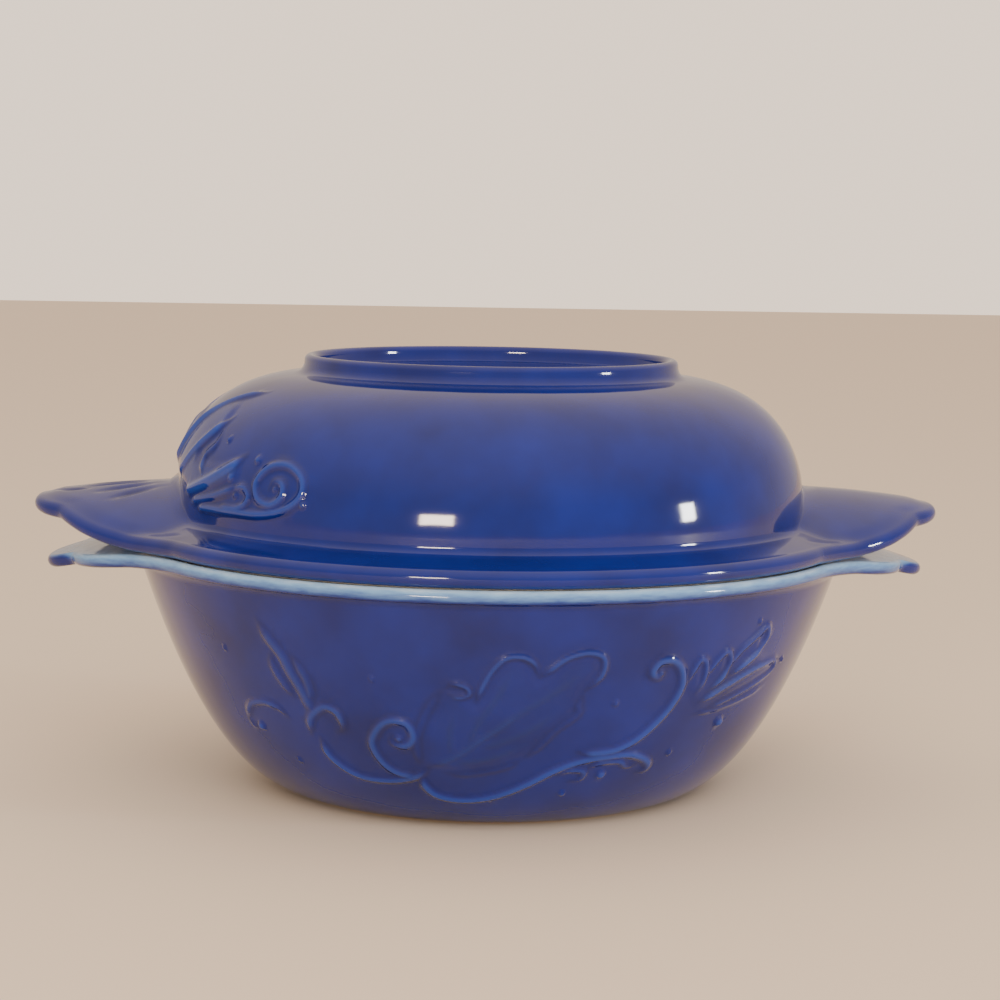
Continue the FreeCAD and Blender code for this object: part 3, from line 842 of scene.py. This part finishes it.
# Thin glaze goes from light blue to full cobalt.
rim_ramp = add_node(cobalt, "ShaderNodeValToRGB", {"Fac": fade})
thinnest, fullest = rim_ramp.color_ramp.elements
thinnest.position, thinnest.color = 0.12, colour("#A6C2DE")
fullest.position, fullest.color = 0.85, colour("#21408F")
middle = rim_ramp.color_ramp.elements.new(0.5)
middle.color = colour("#6E9AC8")
full = add_node(cobalt, "ShaderNodeMapRange",
                {"Value": fade, "From Min": 0.75, "From Max": 0.95}).outputs["Result"]
skin = add_node(cobalt, "ShaderNodeMix", {"Factor": full, "A": rim_ramp.outputs["Color"],
                                          "B": deep.outputs["Result"]}, data_type="RGBA")

# The surface waves a little, about every 16 mm.
ripple = add_node(cobalt, "ShaderNodeTexNoise",
                  {"Vector": place, "Scale": 1 / 0.016, "Detail": 1.0}).outputs["Fac"]
wave = add_node(cobalt, "ShaderNodeBump", {"Height": ripple, "Strength": 0.25, "Distance": 0.0004})
finish_material(cobalt, Base_Color=skin.outputs["Result"], Roughness=0.07, IOR=1.5,
                Normal=wave.outputs["Normal"])

# %% [markdown]
# ## White glaze and bare clay
#
# Inside, the ware has the same clear glaze without cobalt over its white slip. The foot
# that stands on the table is wiped clean before firing, so it shows the clay: matt, buff
# and a little sandy.

# %% White glaze and clay materials
def mottled(material, size, detail, dark, light, strength, depth, **shader):
    """Finish a material with two colours in grains of a size in metres, and their bump."""
    where = add_node(material, "ShaderNodeTexCoord").outputs["Object"]
    grain = add_node(material, "ShaderNodeTexNoise",
                     {"Vector": where, "Scale": 1 / size, "Detail": detail}).outputs["Fac"]
    tint = add_node(material, "ShaderNodeMix", {"Factor": grain, "A": colour(dark),
                                                "B": colour(light)}, data_type="RGBA")
    bump = add_node(material, "ShaderNodeBump",
                    {"Height": grain, "Strength": strength, "Distance": depth})
    finish_material(material, Base_Color=tint.outputs["Result"], Normal=bump.outputs["Normal"],
                    **shader)


white = new_material("white glazed earthenware")
mottled(white, 0.03, 2.0, "#DDDCD6", "#E9E7DF", 0.2, 0.0004, Roughness=0.08, IOR=1.5)
clay = new_material("bare fired clay")
mottled(clay, 0.0008, 3.0, "#C9AE8A", "#E2CFAF", 0.5, 0.0002, Roughness=0.8, IOR=1.5)
print("materials", [m.name for m in (cobalt, white, clay)])

# %% [markdown]
# ## Putting the glaze on
#
# Each face takes its finish from its row in the section. The cobalt's thickness is an
# attribute: full on the walls, and on the dish's roll it falls from the shadow under the
# roll to nearly nothing on the crest and on top of the lugs.

# %% Assign finishes
LAST_ROW = 999          # past the end of either section
END_LOBE = 127.0        # mm from the axis, where the lobe at the end of a lug begins


def glaze_rows(piece, finishes, thickness_at):
    """Give each face the finish of its row, and each vertex its cobalt thickness."""
    mesh = piece.data
    for material, _, _ in finishes:
        if material.name not in [m.name for m in mesh.materials]:
            mesh.materials.append(material)
    slots = {m.name: i for i, m in enumerate(mesh.materials)}
    row = rows_of(mesh)
    middle_row = np.array([row[list(p.vertices)].mean() for p in mesh.polygons])
    index = np.zeros(len(middle_row), int)
    for material, first, last in finishes:
        index[(middle_row >= first) & (middle_row < last)] = slots[material.name]
    mesh.polygons.foreach_set("material_index", index)
    stored = mesh.attributes.new("glaze", "FLOAT", "POINT")
    thickness = np.interp(row, *zip(*thickness_at))
    end_lobe = smoothstep((np.abs(coordinates(mesh)[:, 0]) / MM - END_LOBE) / 6.0)
    thickness = np.minimum(1, thickness + 0.35 * end_lobe)      # bluer and darker towards the end of each lug
    stored.data.foreach_set("value", thickness.astype(np.float32))
    mesh.update()


rim, mouth_row = dish_rim_row, dish_mouth_row
under, edge = DISH_TONGUE[:2]
glaze_rows(dish, [(cobalt, 0, mouth_row + 2), (white, mouth_row + 2, LAST_ROW),
                  (clay, 5.0, FOOT_ROWS + 1.0)],
           [(0, 1.0), (rim, 1.0), (rim + under - 2, 0.95), (rim + under + edge * 0.5, 0.66),
            (rim + under + edge, 0.34), (mouth_row, 0.08), (mouth_row + 3, 0.0)])
glaze_rows(lid, [(cobalt, 0, lid_seat_row - 3), (clay, lid_seat_row - 3, lid_seat_row + 1),
                 (white, lid_seat_row + 1, LAST_ROW)], [(0, 1.0), (LAST_ROW, 1.0)])
for piece, node in ((dish, "dish"), (lid, "lid")):
    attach(piece, node)
    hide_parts(node)
print("finishes assigned")

# %% [markdown]
# ## Floor and light
#
# A plain pale floor, a warm room that is brighter overhead, and three lamps. Two small ones
# are low enough to show as highlights on the dome's side, and a large soft one in front
# lifts the dome and is hidden from reflections. The room could be one even colour, but then
# the dome and the bowl under it would be equally light.

# %% Floor
bpy.ops.object.select_all(action="DESELECT")
bpy.ops.mesh.primitive_plane_add(size=8.0, location=(0, 0, 0))
floor = bpy.context.object
floor.name = "floor"
paper = new_material("pale matt floor")
finish_material(paper, Base_Color=colour("#DFCFBB"), Roughness=0.6, IOR=1.45)
floor.data.materials.append(paper)

# %% Light
def window_lamp(name, azimuth, elevation, distance, width, height, power, tint):
    """Soft rectangular lamp that faces the middle of the dish."""
    a, e = math.radians(azimuth), math.radians(elevation)
    middle = Vector((0, 0, 0.08))
    away = Vector((math.sin(a) * math.cos(e), -math.cos(a) * math.cos(e), math.sin(e)))
    lamp = bpy.data.lights.new(name, "AREA")
    lamp.shape = "RECTANGLE"
    lamp.size, lamp.size_y = width, height
    lamp.energy = power
    lamp.color = colour(tint)[:3]
    holder = bpy.data.objects.new(name, lamp)
    holder.location = middle + away * distance
    holder.rotation_euler = away.to_track_quat("Z", "Y").to_euler()
    bpy.context.scene.collection.objects.link(holder)
    print("lamp", name, [round(c, 2) for c in holder.location])


window_lamp("lamp front left", -21, 7, 1.5, 0.30, 0.15, 9, "#FFE9D2")
window_lamp("lamp right", 69, 7, 1.5, 0.15, 0.22, 8, "#FFFFFF")
window_lamp("soft front", 4, 30, 2.0, 2.0, 1.4, 30, "#FFF4E6")
bpy.data.objects["soft front"].visible_glossy = False


# %% Room
world = bpy.data.worlds.new("room")
bpy.context.scene.world = world
world.use_nodes = True
world.node_tree.nodes.clear()
direction = add_node(world, "ShaderNodeTexCoord").outputs["Generated"]
upwards = add_node(world, "ShaderNodeSeparateXYZ", {0: direction}).outputs["Z"]
brightness = add_node(world, "ShaderNodeMapRange", {"Value": upwards, "From Min": 0.25, "To Min": 1.0,
                                                    "To Max": 1.9}).outputs["Result"]
lit = add_node(world, "ShaderNodeBackground", {"Color": colour("#E8D3BF"), "Strength": brightness})
seen = add_node(world, "ShaderNodeBackground", {"Color": colour("#EBD6C2"), "Strength": 2.0})
to_camera = add_node(world, "ShaderNodeLightPath").outputs["Is Camera Ray"]
room = add_node(world, "ShaderNodeMixShader", {"Fac": to_camera, 1: lit.outputs["Background"],
                                               2: seen.outputs["Background"]})
add_node(world, "ShaderNodeOutputWorld", {"Surface": room.outputs["Shader"]})
print("world", world.name, len(world.node_tree.nodes), "nodes")
